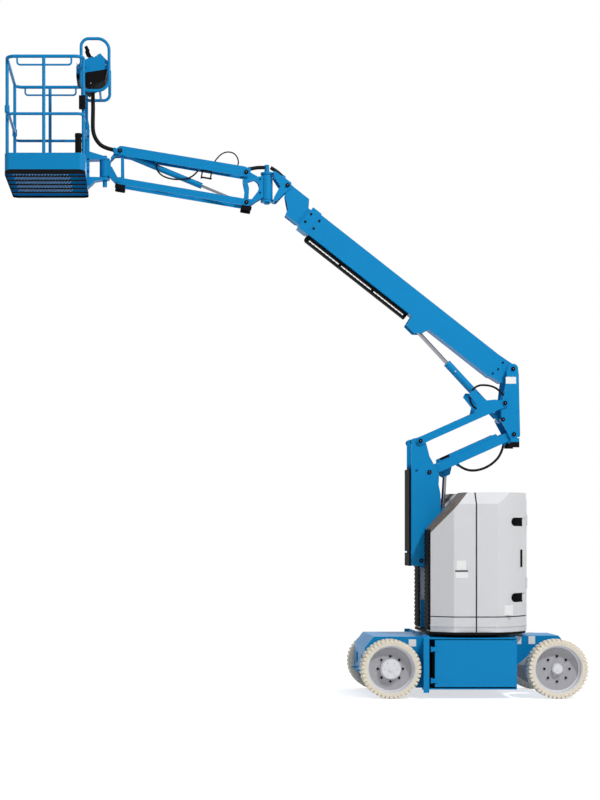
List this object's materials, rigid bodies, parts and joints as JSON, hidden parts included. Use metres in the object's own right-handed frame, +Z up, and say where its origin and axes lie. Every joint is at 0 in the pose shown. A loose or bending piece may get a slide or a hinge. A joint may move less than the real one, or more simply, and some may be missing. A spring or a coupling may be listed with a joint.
{
  "type": "articulating boom lift",
  "caption": "Self-propelled aerial work platform with parallelogram risers, telescopic boom and swinging jib.",
  "frame": {"origin": "middle of the overall length and width, on the ground; the turntable's slew axis stands 1.68 m from it in +X", "axes": "+X towards the steered wheels, -X towards the platform, +Y to the right-hand side, +Z up"},
  "size_m": [5.4876, 1.2106, 6.3269],
  "materials": {
    "blue_paint": "gloss",
    "grey_cover": "satin",
    "rim_grey": "satin",
    "tyre_white": "matte",
    "black_steel": "satin",
    "black_plastic": "matte",
    "chrome_rod": "polished",
    "cast": "rough"
  },
  "bodies": {
    "chassis": {"chassis_frame": "blue_paint", "steer_axle": "blue_paint", "drive_motors": "black_steel", "batteries": "black_plastic", "slew_ring": "black_steel"},
    "tie_rod": {"tie_rod": "blue_paint"},
    "turntable": {"turntable_frame": "blue_paint", "counterweight": "cast", "power_pack": "black_plastic", "skirt": "grey_cover", "tail_panel": "grey_cover", "front_guards": "black_plastic", "front_cover_left": "grey_cover", "front_cover_right": "grey_cover"},
    "lower_arm": {"lower_arm": "blue_paint"},
    "lower_link": {"lower_link": "blue_paint"},
    "mid_column": {"mid_column": "blue_paint"},
    "upper_arm": {"upper_arm": "blue_paint", "riser_hose": "black_plastic"},
    "upper_link": {"upper_link": "blue_paint"},
    "upper_column": {"upper_column": "blue_paint", "coil_hose": "black_plastic"},
    "riser_barrel": {"riser_barrel": "blue_paint"},
    "riser_rod": {"riser_rod": "chrome_rod"},
    "lift_barrel": {"lift_barrel": "blue_paint"},
    "lift_rod": {"lift_rod": "chrome_rod"},
    "outer_boom": {"outer_boom": "blue_paint", "cable_track": "black_plastic"},
    "inner_boom": {"inner_boom": "blue_paint"},
    "yoke": {"yoke": "blue_paint", "yoke_hose": "black_plastic"},
    "jib_pivot": {"jib_pivot": "blue_paint", "pivot_hose": "black_plastic"},
    "jib_arm": {"jib_arm": "blue_paint", "jib_hose": "black_plastic"},
    "jib_link": {"jib_link": "blue_paint"},
    "jib_head": {"jib_head": "blue_paint"},
    "jib_barrel": {"jib_barrel": "blue_paint"},
    "jib_rod": {"jib_rod": "chrome_rod"},
    "platform": {"platform_frame": "blue_paint", "platform_mount": "blue_paint", "platform_rails": "blue_paint", "console": "blue_paint", "console_guard": "blue_paint", "platform_cable": "black_plastic"},
    "entry_bar": {"entry_bar": "blue_paint"},
    "battery_door_left": {"battery_door_left": "blue_paint"},
    "door_left": {"door_left": "grey_cover"},
    "knuckle_left": {"knuckle_left": "blue_paint"},
    "wheel_drive_left": {"tyre_drive_left": "tyre_white", "rim_drive_left": "rim_grey"},
    "wheel_steer_left": {"tyre_steer_left": "tyre_white", "rim_steer_left": "rim_grey"},
    "battery_door_right": {"battery_door_right": "blue_paint"},
    "door_right": {"door_right": "grey_cover"},
    "knuckle_right": {"knuckle_right": "blue_paint"},
    "wheel_drive_right": {"tyre_drive_right": "tyre_white", "rim_drive_right": "rim_grey"},
    "wheel_steer_right": {"tyre_steer_right": "tyre_white", "rim_steer_right": "rim_grey"}
  },
  "joints": [
    {"name": "drive_left", "type": "hinge", "parent": "chassis", "child": "wheel_drive_left", "pos_m": [0.895, -0.506, 0.2795], "axis": [0, 1, 0], "continuous": true},
    {"name": "drive_right", "type": "hinge", "parent": "chassis", "child": "wheel_drive_right", "pos_m": [0.895, 0.506, 0.2795], "axis": [0, 1, 0], "continuous": true},
    {"name": "steer_left", "type": "hinge", "parent": "chassis", "child": "knuckle_left", "pos_m": [2.465, -0.4, 0.2795], "axis": [0, 0, 1], "range_deg": [-40, 40]},
    {"name": "steer_right", "type": "hinge", "parent": "chassis", "child": "knuckle_right", "pos_m": [2.465, 0.4, 0.2795], "axis": [0, 0, 1], "range_deg": [-40, 40]},
    {"name": "tie_rod", "type": "hinge", "parent": "knuckle_left", "child": "tie_rod", "pos_m": [2.615, -0.4, 0.2795], "axis": [0, 0, 1], "range_deg": [-40, 40]},
    {"name": "spin_left", "type": "hinge", "parent": "knuckle_left", "child": "wheel_steer_left", "pos_m": [2.465, -0.506, 0.2795], "axis": [0, 1, 0], "continuous": true},
    {"name": "spin_right", "type": "hinge", "parent": "knuckle_right", "child": "wheel_steer_right", "pos_m": [2.465, 0.506, 0.2795], "axis": [0, 1, 0], "continuous": true},
    {"name": "slew", "type": "hinge", "parent": "chassis", "child": "turntable", "pos_m": [1.68, 0, 0.6], "axis": [0, 0, 1], "range_deg": [-177.5, 177.5]},
    {"name": "battery_door_left", "type": "hinge", "parent": "chassis", "child": "battery_door_left", "pos_m": [1.27, -0.5963, 0.3], "axis": [0, 0, -1], "range_deg": [0, 95]},
    {"name": "battery_door_right", "type": "hinge", "parent": "chassis", "child": "battery_door_right", "pos_m": [1.27, 0.5963, 0.3], "axis": [0, 0, 1], "range_deg": [0, 95]},
    {"name": "door_left", "type": "hinge", "parent": "turntable", "child": "door_left", "pos_m": [2.24616, -0.213, 1.2], "axis": [0, 0, 1], "range_deg": [0, 100]},
    {"name": "door_right", "type": "hinge", "parent": "turntable", "child": "door_right", "pos_m": [2.24616, 0.213, 1.2], "axis": [0, 0, -1], "range_deg": [0, 100]},
    {"name": "riser_lift", "type": "hinge", "parent": "turntable", "child": "lower_arm", "pos_m": [2.06, 0, 0.927], "axis": [0, 1, 0], "range_deg": [-39, 36]},
    {"name": "lower_link", "type": "hinge", "parent": "turntable", "child": "lower_link", "pos_m": [2.135, 0, 1.235], "axis": [0, 1, 0], "range_deg": [-39, 36]},
    {"name": "mid_column", "type": "hinge", "parent": "lower_arm", "child": "mid_column", "pos_m": [1.24484, 0, 1.29164], "axis": [0, 1, 0], "range_deg": [-36, 39]},
    {"name": "upper_arm", "type": "hinge", "parent": "mid_column", "child": "upper_arm", "pos_m": [1.32404, 0, 2.14604], "axis": [0, -1, 0], "range_deg": [-39, 36]},
    {"name": "upper_link", "type": "hinge", "parent": "mid_column", "child": "upper_link", "pos_m": [1.23504, 0, 2.44504], "axis": [0, -1, 0], "range_deg": [-39, 36]},
    {"name": "upper_column", "type": "hinge", "parent": "upper_arm", "child": "upper_column", "pos_m": [2.1392, 0, 2.51068], "axis": [0, -1, 0], "range_deg": [-36, 39]},
    {"name": "riser_barrel", "type": "hinge", "parent": "lower_arm", "child": "riser_barrel", "pos_m": [1.44338, 0, 1.20283], "axis": [0, 1, 0], "range_deg": [-33.32, 36.08]},
    {"name": "riser_rod", "type": "slide", "parent": "riser_barrel", "child": "riser_rod", "axis": [0.0603, 0, 0.9982], "range_m": [-0.2425, 0.2235]},
    {"name": "boom_lift", "type": "hinge", "parent": "upper_column", "child": "outer_boom", "pos_m": [2.1312, 0, 3.14168], "axis": [0, 1, 0], "range_deg": [-38, 34]},
    {"name": "lift_barrel", "type": "hinge", "parent": "upper_column", "child": "lift_barrel", "pos_m": [2.0342, 0, 2.65368], "axis": [0, 1, 0], "range_deg": [-29.2, 26.2]},
    {"name": "lift_rod", "type": "slide", "parent": "lift_barrel", "child": "lift_rod", "axis": [-0.6791, 0, 0.7341], "range_m": [-0.323, 0.289]},
    {"name": "boom_extend", "type": "slide", "parent": "outer_boom", "child": "inner_boom", "axis": [-0.7859, 0, 0.6184], "range_m": [0, 1.2]},
    {"name": "yoke", "type": "hinge", "parent": "inner_boom", "child": "yoke", "pos_m": [-0.03664, 0, 4.92268], "axis": [0, 1, 0], "range_deg": [-34, 38]},
    {"name": "jib_swing", "type": "hinge", "parent": "yoke", "child": "jib_pivot", "pos_m": [-0.23064, 0, 4.92268], "axis": [0, 0, 1], "range_deg": [-90, 90]},
    {"name": "jib_lift", "type": "hinge", "parent": "jib_pivot", "child": "jib_arm", "pos_m": [-0.43564, 0, 5.05468], "axis": [0, 1, 0], "range_deg": [-79, 60]},
    {"name": "jib_link", "type": "hinge", "parent": "jib_pivot", "child": "jib_link", "pos_m": [-0.43564, 0, 4.75668], "axis": [0, 1, 0], "range_deg": [-79, 60]},
    {"name": "jib_head", "type": "hinge", "parent": "jib_arm", "child": "jib_head", "pos_m": [-1.65839, 0, 5.26083], "axis": [0, 1, 0], "range_deg": [-60, 79]},
    {"name": "jib_barrel", "type": "hinge", "parent": "jib_arm", "child": "jib_barrel", "pos_m": [-1.65839, 0, 5.26083], "axis": [0, 1, 0], "range_deg": [-3, 4]},
    {"name": "jib_rod", "type": "slide", "parent": "jib_barrel", "child": "jib_rod", "axis": [0.9245, 0, -0.3812], "range_m": [-0.375, 0.285]},
    {"name": "platform_turn", "type": "hinge", "parent": "jib_head", "child": "platform", "pos_m": [-1.80639, 0, 4.96283], "axis": [0, 0, 1], "range_deg": [-90, 90]},
    {"name": "entry_bar", "type": "slide", "parent": "platform", "child": "entry_bar", "axis": [0, 0, 1], "range_m": [0, 0.4]}
  ],
  "couplings": [
    {"joint": "steer_right", "follows": "steer_left", "ratio": 1},
    {"joint": "tie_rod", "follows": "steer_left", "ratio": -1},
    {"joint": "lower_link", "follows": "riser_lift", "ratio": 1},
    {"joint": "mid_column", "follows": "riser_lift", "ratio": -1},
    {"joint": "upper_arm", "follows": "riser_lift", "ratio": 1},
    {"joint": "upper_link", "follows": "riser_lift", "ratio": 1},
    {"joint": "upper_column", "follows": "riser_lift", "ratio": -1},
    {"joint": "riser_barrel", "follows": "riser_lift", "ratio": -0.92},
    {"joint": "riser_rod", "follows": "riser_lift", "m_per_rad": 0.355},
    {"joint": "lift_barrel", "follows": "boom_lift", "ratio": 0.76},
    {"joint": "lift_rod", "follows": "boom_lift", "m_per_rad": 0.485},
    {"joint": "yoke", "follows": "boom_lift", "ratio": -1},
    {"joint": "jib_link", "follows": "jib_lift", "ratio": 1},
    {"joint": "jib_head", "follows": "jib_lift", "ratio": -1},
    {"joint": "jib_barrel", "follows": "jib_lift", "ratio": -0.045},
    {"joint": "jib_rod", "follows": "jib_lift", "m_per_rad": 0.27}
  ]
}
